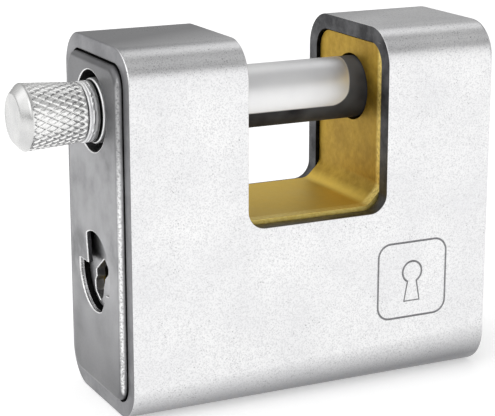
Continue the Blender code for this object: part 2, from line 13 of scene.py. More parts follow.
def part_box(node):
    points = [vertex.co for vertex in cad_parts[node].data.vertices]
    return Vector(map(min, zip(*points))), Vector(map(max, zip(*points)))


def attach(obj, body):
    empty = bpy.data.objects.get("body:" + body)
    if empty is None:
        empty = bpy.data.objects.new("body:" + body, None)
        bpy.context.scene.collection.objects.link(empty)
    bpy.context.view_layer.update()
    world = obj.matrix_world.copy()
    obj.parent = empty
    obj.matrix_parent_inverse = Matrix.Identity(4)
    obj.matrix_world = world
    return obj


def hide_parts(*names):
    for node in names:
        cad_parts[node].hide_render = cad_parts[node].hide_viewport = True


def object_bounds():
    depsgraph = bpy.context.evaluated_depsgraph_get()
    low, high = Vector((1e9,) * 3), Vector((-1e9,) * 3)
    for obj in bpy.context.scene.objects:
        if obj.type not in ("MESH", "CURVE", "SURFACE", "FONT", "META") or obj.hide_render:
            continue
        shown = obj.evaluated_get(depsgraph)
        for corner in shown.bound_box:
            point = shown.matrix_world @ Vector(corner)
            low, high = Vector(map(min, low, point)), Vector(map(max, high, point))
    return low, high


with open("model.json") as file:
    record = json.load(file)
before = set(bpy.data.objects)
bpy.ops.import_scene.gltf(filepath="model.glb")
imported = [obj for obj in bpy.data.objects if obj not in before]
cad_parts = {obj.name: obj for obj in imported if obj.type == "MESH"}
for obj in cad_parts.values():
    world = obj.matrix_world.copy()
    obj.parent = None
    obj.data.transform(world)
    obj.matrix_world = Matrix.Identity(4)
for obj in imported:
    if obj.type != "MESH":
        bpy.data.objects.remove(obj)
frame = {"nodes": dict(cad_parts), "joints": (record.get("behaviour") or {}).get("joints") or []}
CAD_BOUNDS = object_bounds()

MM = 0.001

# Places read from the frame
CASING_LOW, CASING_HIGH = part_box("armour_casing")
CORE_LOW, CORE_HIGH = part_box("core_body")
PLATE_LOW, PLATE_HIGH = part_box("end_plate")
GUARD_LOW, GUARD_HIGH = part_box("guard_disc")
BOLT_LOW, BOLT_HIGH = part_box("bolt_rod")
KNOB_LOW, KNOB_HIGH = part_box("bolt_knob")
PIN_LOW, PIN_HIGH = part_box("locking_pin")
STOP_LOW, STOP_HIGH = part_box("stop_screw")
BOLT_Z = (BOLT_LOW.z + BOLT_HIGH.z) / 2
CYLINDER_Z = (GUARD_LOW.z + GUARD_HIGH.z) / 2
PIN_X = (PIN_LOW.x + PIN_HIGH.x) / 2
STOP_X = (STOP_LOW.x + STOP_HIGH.x) / 2
JOINTS = {joint["name"]: joint for joint in frame["joints"]}
BOLT_TRAVEL = JOINTS["bolt_slide"]["range_m"][1]

# Casing and notch
CASING_CORNER = 7.0 * MM
WALL = 3.0 * MM
END_EDGE = 0.8 * MM
RIM_EDGE = 0.3 * MM
MOUTH_EDGE = 0.15 * MM
NOTCH_HALF = 14.5 * MM
NOTCH_FLOOR = 34.5 * MM
NOTCH_CORNER = 3.5 * MM
CUT_EDGE = 0.22 * MM
FOOT_SHADE_TOP = 8.0 * MM

# Room round moving and fitted pieces, and how far cutters run past a face
GAP = 0.3 * MM
PAST = 3.0 * MM

# Slack for telling faces apart, from coarse to fine, and how near points are joined
SLACK = 0.1 * MM
NEAR = 0.05 * MM
HAIR = 0.01 * MM
SAME_POINT = 0.0005 * MM

# Engraved mark: a plain rounded frame with a keyhole in it
MARK_X = 20.5 * MM
MARK_Z = 20.5 * MM
MARK_HALF = 7.5 * MM
MARK_CORNER = 2.6 * MM
MARK_LINE = 0.2 * MM
SIGN_HEAD_RADIUS = 2.1 * MM
SIGN_HEAD_UP = 1.5 * MM
SIGN_HEAD_ARC = (-62, 242)
SIGN_FOOT_HALF = 1.7 * MM
SIGN_FOOT_DOWN = 4.3 * MM

# Core, and the bores in it
CORE_CORNER = CASING_CORNER - WALL - GAP
CORE_RECESS = 0.7 * MM
CORE_FLOOR = NOTCH_FLOOR + 0.8 * MM
CORE_CHAMFER = 3.0 * MM
CORE_SOFTENING = 2.5 * MM
CORE_EDGE = 0.4 * MM
BOLT_BORE_RADIUS = 6.5 * MM
CYLINDER_BORE_RADIUS = 7.9 * MM
SIDEBAR_GROOVE_RADIUS = 1.0 * MM
PIN_BORE_RADIUS = 2.5 * MM
STOP_HEAD_RADIUS = 2.8 * MM
STOP_HEAD_Y = 8.5 * MM
STOP_BORE_RADIUS = 1.8 * MM
DOWEL_BORE_RADIUS = 1.8 * MM
CORE_PIN_BORE_RADIUS = 2.3 * MM

# End plate and guard disc
PLATE_EDGE = 1.1 * MM
PLATE_LIP = 1.0 * MM
BOLT_HOLE_RADIUS = 7.5 * MM
KEYHOLE_RADIUS = 7.6 * MM
COUNTERBORE_RADIUS = 8.2 * MM
PLATE_HOLE_EDGE = 0.2 * MM
KEYHOLE_TOP_LUG = [(3.1 * MM, 0.9 * MM)]
KEYHOLE_UPPER_ARC = (59, 203)
KEYHOLE_FRONT_LUG = [(-5.6 * MM, -3.0 * MM), (-4.7 * MM, -4.8 * MM)]
KEYHOLE_LOWER_ARC = (245, 366.5)
# How far forward the keyhole's wall by its upper lug is painted dark as shade
SHADED_WALL_TO_Y = 5.5 * MM
GUARD_EDGE = 0.18 * MM
GUARD_BOSS_RADIUS = 7.4 * MM
GUARD_STEP = 1.0 * MM

# Bolt, from its tip to its stud
BOLT_RADIUS = 6.0 * MM
BOLT_EDGE = 0.08 * MM
BOLT_TIP_EDGE = 1.2 * MM
BOLT_RING_STEP = 2.0 * MM
SHANK_INSET = 0.2 * MM
SHANK_EDGE = 0.25 * MM
GROOVE_WIDTH = 0.4 * MM
GROOVE_RADIUS = 4.6 * MM
COLLAR_RADIUS = 5.6 * MM
COLLAR_PROUD = 2.2 * MM
COLLAR_EDGE = 0.1 * MM
COLLAR_RING = 0.2 * MM
STUD_RADIUS = 3.5 * MM
STOP_SLOT_HALF = 1.8 * MM
STOP_SLOT_FLOOR = 4.2 * MM
PIN_POCKET_RADIUS = 2.6 * MM
PIN_LIFT = 3.4 * MM

# Knob: the cap's profile as (back from the end, in from the widest radius), and the
# knurling on the grip, with its groove's half width as a share of the pitch
KNOB_RADIUS = 6.15 * MM
KNOB_BASE_RADIUS = 5.5 * MM
KNOB_CAP_LENGTH = 1.8 * MM
KNOB_CAP = [
    (0.0 * MM, 1.85 * MM), (0.06 * MM, 1.65 * MM), (0.2 * MM, 1.45 * MM), (1.4 * MM, 0.2 * MM),
    (1.6 * MM, 0.06 * MM),
]
KNURL_STARTS = 28
KNURL_PITCH = 2.5 * MM
KNURL_DEPTH = 0.24 * MM
KNURL_FROM_CAP = 0.2 * MM
KNURL_FROM_BASE = 0.15 * MM
KNURL_FADE = 0.5 * MM
KNURL_GROOVE = 0.20
KNURL_DETAIL = 13

# Camera: it circles a point near the object's middle, from the left of its front and above
CAMERA_AZIMUTH = 26
CAMERA_ELEVATION = 15
CAMERA_DISTANCE = 330 * MM
CAMERA_AIM_RIGHT = 0.9 * MM
CAMERA_AIM_DOWN = 0.4 * MM
CAMERA_LENS = 125

# Studio. Boxes: azimuth, elevation, half angle, softness and power. Strips: where on the
# casing's long front top edge the camera sees them mirrored (0 on the top, 90 on the
# front), then half angle, softness and power. Angles are degrees.
AMBIENT = 0.2
FLOOR_GLOW = 0.4
FLOOR_RADIUS = 6.0
BOXES = {
    "left_box": (-90, 45, 35, 20, 1.0),
    "front_left_box": (-150, 35, 25, 15, 1.0),
    "back_fill": (-30, 30, 30, 20, 0.5),
    "right_fill": (95, 20, 20, 15, 0.5),
}
STRIPS = {
    "top_sheen": (4, 11, 11, 0.4),
    "edge_highlight": (25, 13, 11, 0.9),
    "edge_band": (48, 14, 10, 0.4),
    "front_glow": (77, 20, 14, 1.0),
}

# Steps round a full circle, round the corners of the casing and the core, and along the
# keyhole's arcs
ROUND_STEPS = 128
BORE_STEPS = 64
SMALL_STEPS = 48
GROOVE_STEPS = 32
CASING_CORNER_STEPS = 18
CORE_CORNER_STEPS = 12
KEYHOLE_UPPER_STEPS = 55
KEYHOLE_LOWER_STEPS = 48


# ---- Shape makers ---------------------------------------------------------

def link(name, mesh):
    piece = bpy.data.objects.new(name, mesh)
    bpy.context.scene.collection.objects.link(piece)
    return piece


def mesh_from(name, verts, faces):
    mesh = bpy.data.meshes.new(name)
    mesh.from_pydata([tuple(vert) for vert in verts], [], faces)
    mesh.validate()
    mesh.update()
    return mesh


def rounded_ring(x, half_y, low_z, high_z, corner, steps=14):
    """A rounded rectangle across X, as points in order."""
    points = []
    corners = [
        (half_y, high_z, 0), (-half_y, high_z, 90), (-half_y, low_z, 180), (half_y, low_z, 270),
    ]
    for y, z, start in corners:
        centre_y = y - math.copysign(corner, y)
        centre_z = z - corner if z == high_z else z + corner
        for step in range(steps + 1):
            angle = math.radians(start + 90 * step / steps)
            y_here = centre_y + corner * math.cos(angle)
            points.append((x, y_here, centre_z + corner * math.sin(angle)))
    return points


def lofted(name, rings):
    """A closed solid through rings of equal count, with flat ends."""
    count = len(rings[0])
    verts = [point for ring in rings for point in ring]
    faces = [tuple(reversed(range(count)))]
    for level in range(len(rings) - 1):
        base = level * count
        for i in range(count):
            j = (i + 1) % count
            faces.append((base + i, base + j, base + count + j, base + count + i))
    last = (len(rings) - 1) * count
    faces.append(tuple(range(last, last + count)))
    return link(name, outward(mesh_from(name, verts, faces)))


def outward(mesh):
    """Joins doubled points and turns every face outwards."""
    shape = bmesh.new()
    shape.from_mesh(mesh)
    bmesh.ops.remove_doubles(shape, verts=shape.verts, dist=SAME_POINT)
    bmesh.ops.recalc_face_normals(shape, faces=shape.faces)
    shape.to_mesh(mesh)
    shape.free()
    return mesh


def edge_steps(radius, steps=5):
    """(back from the end, inset) pairs round a quarter-round edge, end face first."""
    angles = [math.radians(90 * i / steps) for i in range(steps + 1)]
    return [(radius * (1 - math.cos(a)), radius * (1 - math.sin(a))) for a in angles]


def turned(name, profile, z=0.0, steps=ROUND_STEPS, radius_at=None):
    """A solid turned about a line along X. The profile holds (x, radius) in order."""
    rings = []
    for x, radius in profile:
        ring = []
        for i in range(steps):
            angle = math.tau * i / steps
            r = radius_at(x, angle, radius) if radius_at else radius
            ring.append((x, r * math.cos(angle), z + r * math.sin(angle)))
        rings.append(ring)
    return lofted(name, rings)


def drill(radius, start, end, axis, at, steps=ROUND_STEPS):
    """A round cutter from start to end along an axis through the place."""
    cutter = turned("drill", [(start, radius), (end, radius)], steps=steps)
    turns = {
        "X": Matrix.Identity(4),
        "Y": Matrix.Rotation(math.pi / 2, 4, "Z"),
        "Z": Matrix.Rotation(-math.pi / 2, 4, "Y"),
    }
    cutter.data.transform(Matrix.Translation(at) @ turns[axis])
    return cutter


def prism(outline, low, high, axis):
    """A cutter with a flat outline, run from low to high along Y or X."""
    if axis == "Y":
        rings = [[(a, along, b) for a, b in outline] for along in (low, high)]
    else:
        rings = [[(along, a, b) for a, b in outline] for along in (low, high)]
    return lofted("prism", rings)


def box_cutter(low, high):
    """A cutter between two opposite corners."""
    outline = [(low[0], low[2]), (high[0], low[2]), (high[0], high[2]), (low[0], high[2])]
    return prism(outline, low[1], high[1], "Y")


def settle(piece):
    """Turns the piece's modifiers into its mesh."""
    bpy.context.view_layer.update()
    evaluated = piece.evaluated_get(bpy.context.evaluated_depsgraph_get())
    mesh = bpy.data.meshes.new_from_object(evaluated)
    piece.modifiers.clear()
    old = piece.data
    piece.data = mesh
    bpy.data.meshes.remove(old)
    return piece


def cut(piece, *cutters):
    """Takes the cutters out of the piece, and removes them."""
    for cutter in cutters:
        boolean = piece.modifiers.new("Cut", "BOOLEAN")
        boolean.operation = "DIFFERENCE"
        boolean.solver = "EXACT"
        boolean.object = cutter
    settle(piece)
    for cutter in cutters:
        bpy.data.objects.remove(cutter, do_unlink=True)
    return piece


def soften(piece, width, segments=3, angle=35, held_back=True):
    """Rounds the sharp edges a little and shades the piece smooth.

    Held back, a rounding is narrower where it would run into the next one.
    """
    bevel = piece.modifiers.new("Edges", "BEVEL")
    bevel.use_clamp_overlap = held_back
    bevel.width = width
    bevel.segments = segments
    bevel.limit_method = "ANGLE"
    bevel.angle_limit = math.radians(angle)
    bevel.miter_outer = "MITER_ARC"
    settle(piece)
    return smooth(piece)


def smooth(piece):
    """Shades the piece smooth, with its flat faces kept flat."""
    piece.data.shade_smooth()
    weighted = piece.modifiers.new("Normals", "WEIGHTED_NORMAL")
    weighted.keep_sharp = True
    weighted.weight = 100
    return settle(piece)


def arc(radius, start, end, steps, centre=(0.0, 0.0)):
    """Points on a circle, as pairs, from one angle in degrees to another."""
    points = []
    for i in range(steps + 1):
        angle = math.radians(start + (end - start) * i / steps)
        right, up = radius * math.cos(angle), radius * math.sin(angle)
        points.append((centre[0] + right, centre[1] + up))
    return points


def raised(outline, z):
    """An outline of (y, z) pairs, moved up."""
    return [(a, b + z) for a, b in outline]


def hole_of(name):
    """The radius and middle of a round node that stands along Z."""
    low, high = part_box(name)
    return (high.x - low.x) / 2, ((low.x + high.x) / 2, 0, 0)


def out_from(face, z):
    """How far a face's middle lies from the line along X at that height."""
    return math.hypot(face.center.y, face.center.z - z)


def paint(piece, material, *others):
    """One material all over, then each other material on the faces that its test picks."""
    piece.data.materials.clear()
    piece.data.materials.append(material)
    for other, _ in others:
        piece.data.materials.append(other)
    for face in piece.data.polygons:
        face.material_index = 0
        for index, (_, picks) in enumerate(others, 1):
            if picks(face):
                face.material_index = index


# ---- Materials --------------------------------------------------------------

class Look:
    """A Principled material and short ways to wire its nodes."""

    def __init__(self, name):
        self.material = bpy.data.materials.new(name)
        self.material.use_nodes = True
        self.tree = self.material.node_tree
        self.shader = self.tree.nodes["Principled BSDF"]
        self.place = self.tree.nodes.new("ShaderNodeTexCoord").outputs["Object"]

    def node(self, kind, **values):
        node = self.tree.nodes.new("ShaderNode" + kind)
        for name, value in values.items():
            setattr(node, name, value)
        return node

    def wire(self, source, target):
        self.tree.links.new(source, target)

    def set(self, socket, value):
        """Gives a socket a number, or wires a source to it."""
        if isinstance(value, (int, float)):
            socket.default_value = value
        else:
            self.wire(value, socket)

    def stretched(self, scale):
        mapping = self.node("Mapping")
        mapping.inputs["Scale"].default_value = scale
        self.wire(self.place, mapping.inputs["Vector"])
        return mapping.outputs["Vector"]

    def noise(self, scale, detail, rough, stretch=None):
        """Noise at a scale per metre, stretched along X, Y and Z if a stretch is given."""
        noise = self.node("TexNoise")
        noise.inputs["Scale"].default_value = scale
        noise.inputs["Detail"].default_value = detail
        noise.inputs["Roughness"].default_value = rough
        self.wire(self.stretched(stretch) if stretch else self.place, noise.inputs["Vector"])
        return noise.outputs["Fac"]

    def cells(self, scale):
        """How far a point lies from the nearest of many scattered points."""
        cells = self.node("TexVoronoi", feature="F1")
        cells.inputs["Scale"].default_value = scale
        self.wire(self.place, cells.inputs["Vector"])
        return cells.outputs["Distance"]

    def along(self, axis):
        """How far a point lies along X, Y or Z, in metres."""
        split = self.node("SeparateXYZ")
        self.wire(self.place, split.inputs["Vector"])
        return split.outputs[axis]

    def spread(self, source, low, high, to_low=0.0, to_high=1.0):
        """The source's range low..high mapped to to_low..to_high, and clamped."""
        span = self.node("MapRange")
        names = ("From Min", "From Max", "To Min", "To Max")
        for name, value in zip(names, (low, high, to_low, to_high)):
            span.inputs[name].default_value = value
        self.wire(source, span.inputs["Value"])
        return span.outputs["Result"]

    def combine(self, operation, first, *others):
        """Sources or numbers taken together by one Math operation, from the left."""
        for other in others:
            both = self.node("Math", operation=operation)
            self.set(both.inputs[0], first)
            self.set(both.inputs[1], other)
            first = both.outputs["Value"]
        return first

    def plus(self, *values):
        return self.combine("ADD", *values)

    def minus(self, *values):
        return self.combine("SUBTRACT", *values)

    def times(self, *values):
        return self.combine("MULTIPLY", *values)

    def most(self, *values):
        return self.combine("MAXIMUM", *values)

    def mix(self, factor, first, second):
        """A colour between two colours or sources."""
        mixer = self.node("Mix", data_type="RGBA")
        self.wire(factor, mixer.inputs["Factor"])
        for socket, value in ((mixer.inputs[6], first), (mixer.inputs[7], second)):
            if isinstance(value, tuple):
                socket.default_value = (*value, 1.0)
            else:
                self.wire(value, socket)
        return mixer.outputs[2]

    def patches(self, source, low, high, first, second):
        """The first colour where the source is low, and the second where it is high."""
        return self.mix(self.spread(source, low, high), first, second)

    def finish(self, colour, roughness, height=None, bump=0.0, depth=0.1 * MM, metallic=1.0):
        """Wires the shader, with a height that bumps the surface, and gives the material."""
        self.wire(colour, self.shader.inputs["Base Color"])
        self.wire(roughness, self.shader.inputs["Roughness"])
        self.set(self.shader.inputs["Metallic"], metallic)
        if height is not None:
            node = self.node("Bump")
            node.inputs["Strength"].default_value = bump
            node.inputs["Distance"].default_value = depth
            self.wire(height, node.inputs["Height"])
            self.wire(node.outputs["Normal"], self.shader.inputs["Normal"])
        return self.material


def plated_steel():
    """Shot-finished plating: fine grain, dark pits, and painted shade at the foot and on the top."""
    look = Look("plated_steel")
    grain = look.noise(3600, 3, 0.7)
    coarse = look.noise(1300, 2, 0.6)
    clouds = look.noise(70, 3, 0.5)
    height = look.along("Z")
    top = CASING_HIGH.z

    # Pits gather near the foot and the top, and in patches between
    near_foot = look.spread(height, 5 * MM, 10 * MM, 0.9, 0.0)
    near_top = look.spread(height, top - 9 * MM, top - 4 * MM, 0.0, 0.9)
    patches = look.spread(look.noise(260, 2, 0.6), 0.50, 0.62, 0.0, 0.9)
    pit_zone = look.most(patches, near_foot, near_top)
    pits = look.spread(look.cells(1900), 0.10, 0.30, 1.0, 0.0)
    patchy = look.spread(look.noise(420, 2, 0.6), 0.40, 0.60, 0.25, 1.0)
    pitted = look.times(pits, pit_zone, patchy)
    base = look.patches(clouds, 0.3, 0.7, (0.78, 0.78, 0.79), (0.88, 0.88, 0.88))
    base = look.patches(grain, 0.36, 0.54, (0.64, 0.64, 0.65), base)
    base = look.mix(look.times(pitted, 0.8), base, (0.22, 0.22, 0.23))

    # Painted shade: a dark foot that rises to the right, and a top that darkens to the back and the
    # left
    sloping = look.plus(height, look.times(look.along("X"), -0.04))
    foot = look.spread(sloping, 1.5 * MM, FOOT_SHADE_TOP, 0.85, 0.0)
    backwards = look.plus(look.along("Y"), look.times(look.along("X"), -0.45))
    top_shade = look.spread(backwards, -8 * MM, 12 * MM, 0.1, 0.9)
    on_top = look.spread(height, top - 1.5 * MM, top - 0.2 * MM)
    painted_shade = look.most(foot, look.times(top_shade, on_top))
    base = look.mix(painted_shade, base, (0.18, 0.18, 0.19))
    rough = look.spread(look.plus(grain, clouds), 0.7, 1.3, 0.27, 0.35)
    relief = look.minus(look.plus(grain, coarse), look.times(pitted, 1.5))
    return look.finish(base, rough, relief, 0.4, 0.03 * MM)


def cut_steel():
    """The dark sawn edges of the casing, with a few short bright scuffs."""
    look = Look("cut_steel")
    grain = look.noise(2600, 4, 0.7)
    clouds = look.noise(240, 3, 0.6)
    scuffs = look.noise(420, 2, 0.5, (1.0, 0.35, 3.0))
    base = look.patches(clouds, 0.35, 0.7, (0.035, 0.035, 0.038), (0.13, 0.13, 0.135))
    base = look.mix(look.spread(scuffs, 0.70, 0.80, 0.0, 0.7), base, (0.40, 0.40, 0.41))
    rough = look.spread(grain, 0.3, 0.7, 0.36, 0.55)
    return look.finish(base, rough, grain, 0.4, 0.04 * MM)


def rim_steel():
    """The casing's milled left rim."""
    look = Look("rim_steel")
    grain = look.noise(2400, 4, 0.65)
    clouds = look.noise(180, 3, 0.6)
    base = look.patches(clouds, 0.35, 0.65, (0.20, 0.20, 0.21), (0.29, 0.29, 0.30))
    rough = look.spread(grain, 0.3, 0.7, 0.34, 0.46)
    return look.finish(base, rough, grain, 0.25, 0.03 * MM)


def hardened_steel():
    """Satin tumbled steel with soft blotches."""
    look = Look("hardened_steel")
    grain = look.noise(3000, 4, 0.65)
    blotches = look.noise(150, 3, 0.55)
    base = look.patches(blotches, 0.36, 0.64, (0.36, 0.36, 0.37), (0.50, 0.50, 0.51))
    rough = look.spread(look.plus(grain, blotches), 0.75, 1.25, 0.30, 0.42)
    relief = look.plus(grain, look.times(blotches, 2.0))
    return look.finish(base, rough, relief, 0.2, 0.04 * MM)


def plate_steel():
    """The end plate: blotchy satin, with painted shade at both ends and a painted highlight along its
    front edge.
    """
    look = Look("plate_steel")
    grain = look.noise(3000, 4, 0.65)
    blotches = look.noise(170, 3, 0.6)
    shades = look.spread(look.noise(75, 2, 0.5), 0.38, 0.60)
    base = look.patches(blotches, 0.36, 0.62, (0.15, 0.15, 0.155), (0.32, 0.32, 0.33))
    base = look.mix(look.times(shades, 0.8), base, (0.42, 0.42, 0.43))
    # Painted shade: darker towards the top and the bottom
    height = look.along("Z")
    upper = look.spread(height, PLATE_HIGH.z - 20 * MM, PLATE_HIGH.z - 8 * MM, 0.0, 0.8)
    lower = look.spread(height, PLATE_LOW.z + 3 * MM, PLATE_LOW.z + 22 * MM, 0.8, 0.0)
    base = look.mix(look.most(upper, lower), base, (0.12, 0.12, 0.125))
    # Painted highlight along the front edge, speckled, and fainter towards the top
    speckle = look.spread(look.noise(2400, 2, 0.6), 0.38, 0.55, 0.3, 1.0)
    in_front = look.spread(look.along("Y"), PLATE_LOW.y + 0.35 * MM, PLATE_LOW.y + 0.75 * MM, 1.0, 0.0)
    turned_in = look.spread(look.along("X"), PLATE_LOW.x + 0.5 * MM, PLATE_LOW.x + 0.8 * MM, 1.0, 0.1)
    highlight_fade = look.spread(height, PLATE_HIGH.z - 26 * MM, PLATE_HIGH.z - 14 * MM, 1.0, 0.35)
    painted_edge_highlight = look.times(in_front, turned_in, speckle, highlight_fade)
    base = look.mix(painted_edge_highlight, base, (0.92, 0.92, 0.92))
    rough = look.spread(look.plus(grain, blotches), 0.75, 1.25, 0.28, 0.42)
    relief = look.plus(grain, look.times(blotches, 2.0))
    return look.finish(base, rough, relief, 0.3, 0.04 * MM)


def chrome():
    """The polished bolt: faint turning marks, and a painted dark reflection on its underside and in a
    band by the bore.
    """
    look = Look("chrome")
    rings = look.noise(900, 3, 0.6, (1.0, 0.04, 0.04))
    clouds = look.noise(120, 2, 0.5)
    base = look.patches(clouds, 0.3, 0.7, (0.80, 0.80, 0.81), (0.88, 0.88, 0.88))

    # Painted dark reflection, also rougher and less metallic: it lies low and near the tip, and rounds
    # the corner between the two
    height = look.minus(look.along("Z"), BOLT_Z)
    below = look.spread(height, -2.3 * MM, 0.7 * MM, 1.0, 0.0)
    towards_tip = look.plus(look.along("X"), look.times(height, -0.2))
    tip = look.spread(towards_tip, 8.4 * MM, 11.4 * MM)
    corner = look.plus(look.times(below, below), look.times(tip, tip))
    painted_reflection = look.spread(corner, 0.86, 1.0)
    reflection_mottle = look.spread(clouds, 0.3, 0.7, 0.9, 1.0)
    shaft = look.spread(look.along("X"), -NOTCH_HALF - 2 * MM, -NOTCH_HALF - 1 * MM)
    dark = look.times(painted_reflection, reflection_mottle, shaft)
    base = look.mix(dark, base, (0.012, 0.012, 0.014))
    rough = look.spread(look.plus(rings, clouds), 0.7, 1.3, 0.42, 0.50)
    rough = look.plus(rough, look.times(dark, 0.2))
    look.shader.inputs["Specular IOR Level"].default_value = 0.15
    return look.finish(base, rough, rings, 0.04, 0.01 * MM, metallic=look.minus(1.0, dark))


def satin_nickel():
    """The knob's unevenly toned satin plating, with a painted highlight that makes the grip brighter
    than the cap.
    """
    look = Look("satin_nickel")
    grain = look.noise(2600, 4, 0.6)
    clouds = look.noise(300, 2, 0.5)
    base = look.patches(clouds, 0.3, 0.7, (0.58, 0.58, 0.58), (0.70, 0.70, 0.69))
    # Painted highlight: the grip brighter than the cap
    grip_start = KNOB_LOW.x + KNOB_CAP_LENGTH
    grip = look.spread(look.along("X"), grip_start, grip_start + 0.4 * MM, 0.0, 0.75)
    base = look.mix(grip, base, (0.96, 0.96, 0.95))
    rough = look.spread(look.plus(grain, clouds), 0.7, 1.3, 0.22, 0.32)
    return look.finish(base, rough, grain, 0.15, 0.03 * MM)


def brass():
    """Milled brass, dull and mottled, with painted light on the notch's floor and a painted highlight
    along its front edges.
    """
    look = Look("brass")
    grain = look.noise(2200, 4, 0.65)
    clouds = look.noise(130, 4, 0.65)
    mottle = look.noise(700, 3, 0.6)
    mottled = look.plus(clouds, look.times(mottle, 0.5))
    base = look.patches(mottled, 0.58, 0.92, (0.38, 0.235, 0.028), (0.56, 0.37, 0.058))
    # Painted light: the notch's floor brighter than the walls
    on_floor = look.spread(look.along("Z"), CORE_FLOOR + 0.3 * MM, CORE_FLOOR + 2 * MM, 0.75, 0.0)
    base = look.mix(on_floor, base, (0.95, 0.69, 0.13))
    # Painted highlight along the front edges, in specks
    at_front = look.spread(look.along("Y"), CORE_LOW.y + 1.7 * MM, CORE_LOW.y + 2.5 * MM, 1.0, 0.0)
    specks = look.spread(look.noise(1500, 2, 0.6), 0.40, 0.58, 0.55, 1.0)
    base = look.mix(look.times(at_front, specks), base, (1.0, 0.80, 0.26))
    rough = look.spread(look.plus(grain, clouds), 0.75, 1.25, 0.46, 0.58)
    return look.finish(base, rough, look.plus(grain, clouds), 0.35, 0.05 * MM)


def grained_steel(name, scale, shades, low, high, roughness, bump, depth, stretch=None):
    """A steel whose shade, gloss and relief all follow one grain, which runs low..high."""
    look = Look(name)
    grain = look.noise(scale, 3, 0.6, stretch)
    base = look.patches(grain, low, high, *shades)
    rough = look.spread(grain, 0.3, 0.7, *roughness)
    return look.finish(base, rough, grain, bump, depth)


def highlit_rubbed_steel():
    """Bright steel for edges that the key and the bolt rub, made brighter as a painted highlight, and
    for painted light on lit walls.
    """
    shades = (0.70, 0.70, 0.70), (0.93, 0.93, 0.93)
    return grained_steel("highlit_rubbed_steel", 2600, shades, 0.35, 0.6, (0.20, 0.32), 0.15, 0.02 * MM)


def disc_steel():
    """Stamped discs, brushed in one direction."""
    shades = (0.30, 0.29, 0.27), (0.48, 0.47, 0.44)
    brushed = (1.0, 1.0, 12.0)
    return grained_steel("disc_steel", 500, shades, 0.3, 0.7, (0.25, 0.40), 0.2, 0.03 * MM, brushed)


def spring_steel():
    """Drawn wire."""
    shades = (0.20, 0.20, 0.22), (0.36, 0.36, 0.38)
    return grained_steel("spring_steel", 1800, shades, 0.3, 0.7, (0.22, 0.38), 0.15, 0.02 * MM)


def shade_black_steel():
    """Painted shade for hidden sides and gaps: near-black steel."""
    shades = (0.008, 0.008, 0.008), (0.03, 0.03, 0.03)
    return grained_steel("shade_black_steel", 900, shades, 0.35, 0.7, (0.55, 0.75), 0.2, 0.03 * MM)


def engraved_steel():
    """The darkened floor of the engraved mark."""
    shades = (0.20, 0.20, 0.21), (0.36, 0.36, 0.37)
    return grained_steel("engraved_steel", 3000, shades, 0.3, 0.7, (0.40, 0.55), 0.2, 0.02 * MM)


PLATED = plated_steel()
CUT = cut_steel()
RIM = rim_steel()
HARDENED = hardened_steel()
PLATE = plate_steel()
HIGHLIT_RUBBED = highlit_rubbed_steel()
CHROME = chrome()
NICKEL = satin_nickel()
BRASS = brass()
DISCS = disc_steel()
SPRINGS = spring_steel()
SHADE_BLACK = shade_black_steel()
ENGRAVED = engraved_steel()


# ---- Casing -----------------------------------------------------------------

def casing_ring(x, inset):
    """The casing's outline across X, drawn in by the inset."""
    half_y, high_z = CASING_HIGH.y - inset, CASING_HIGH.z - inset
    return rounded_ring(x, half_y, inset, high_z, CASING_CORNER - inset, CASING_CORNER_STEPS)


def notch_outline():
    """The notch in the casing, as (x, z)."""
    top = CASING_HIGH.z + PAST
    corner_z = NOTCH_FLOOR + NOTCH_CORNER
    corner_x = NOTCH_HALF - NOTCH_CORNER
    left = arc(NOTCH_CORNER, 180, 270, 12, (-corner_x, corner_z))
    right = arc(NOTCH_CORNER, 270, 360, 12, (corner_x, corner_z))
    return [(-NOTCH_HALF, top)] + left + right + [(NOTCH_HALF, top)]


def frame_outline():
    """The frame round the mark, as (x, z)."""
    inner = MARK_HALF - MARK_CORNER
    points = []
    for start, sign_x, sign_z in ((0, 1, 1), (90, -1, 1), (180, -1, -1), (270, 1, -1)):
        centre = (MARK_X + sign_x * inner, MARK_Z + sign_z * inner)
        points += arc(MARK_CORNER, start, start + 90, 10, centre)
    return points


def keyhole_sign():
    """A keyhole in the frame, as (x, z)."""
    head = arc(SIGN_HEAD_RADIUS, *SIGN_HEAD_ARC, 32, (MARK_X, MARK_Z + SIGN_HEAD_UP))
    foot = MARK_Z - SIGN_FOOT_DOWN
    return head + [(MARK_X - SIGN_FOOT_HALF, foot), (MARK_X + SIGN_FOOT_HALF, foot)]


def engraver(points):
    """A thin round wire along a closed outline on the front face, to be cut away."""
    curve = bpy.data.curves.new("engraver", "CURVE")
    curve.dimensions = "3D"
    curve.bevel_depth = MARK_LINE
    curve.bevel_resolution = 2
    spline = curve.splines.new("POLY")
    spline.points.add(len(points) - 1)
    for point, (x, z) in zip(spline.points, points):
        point.co = (x, CASING_LOW.y, z, 1.0)
    spline.use_cyclic_u = True
    wire = bpy.data.objects.new("engraver", curve)
    bpy.context.scene.collection.objects.link(wire)
    bpy.context.view_layer.update()
    evaluated = wire.evaluated_get(bpy.context.evaluated_depsgraph_get())
    tool = link("engraver_tool", outward(bpy.data.meshes.new_from_object(evaluated)))
    bpy.data.objects.remove(wire, do_unlink=True)
    return tool


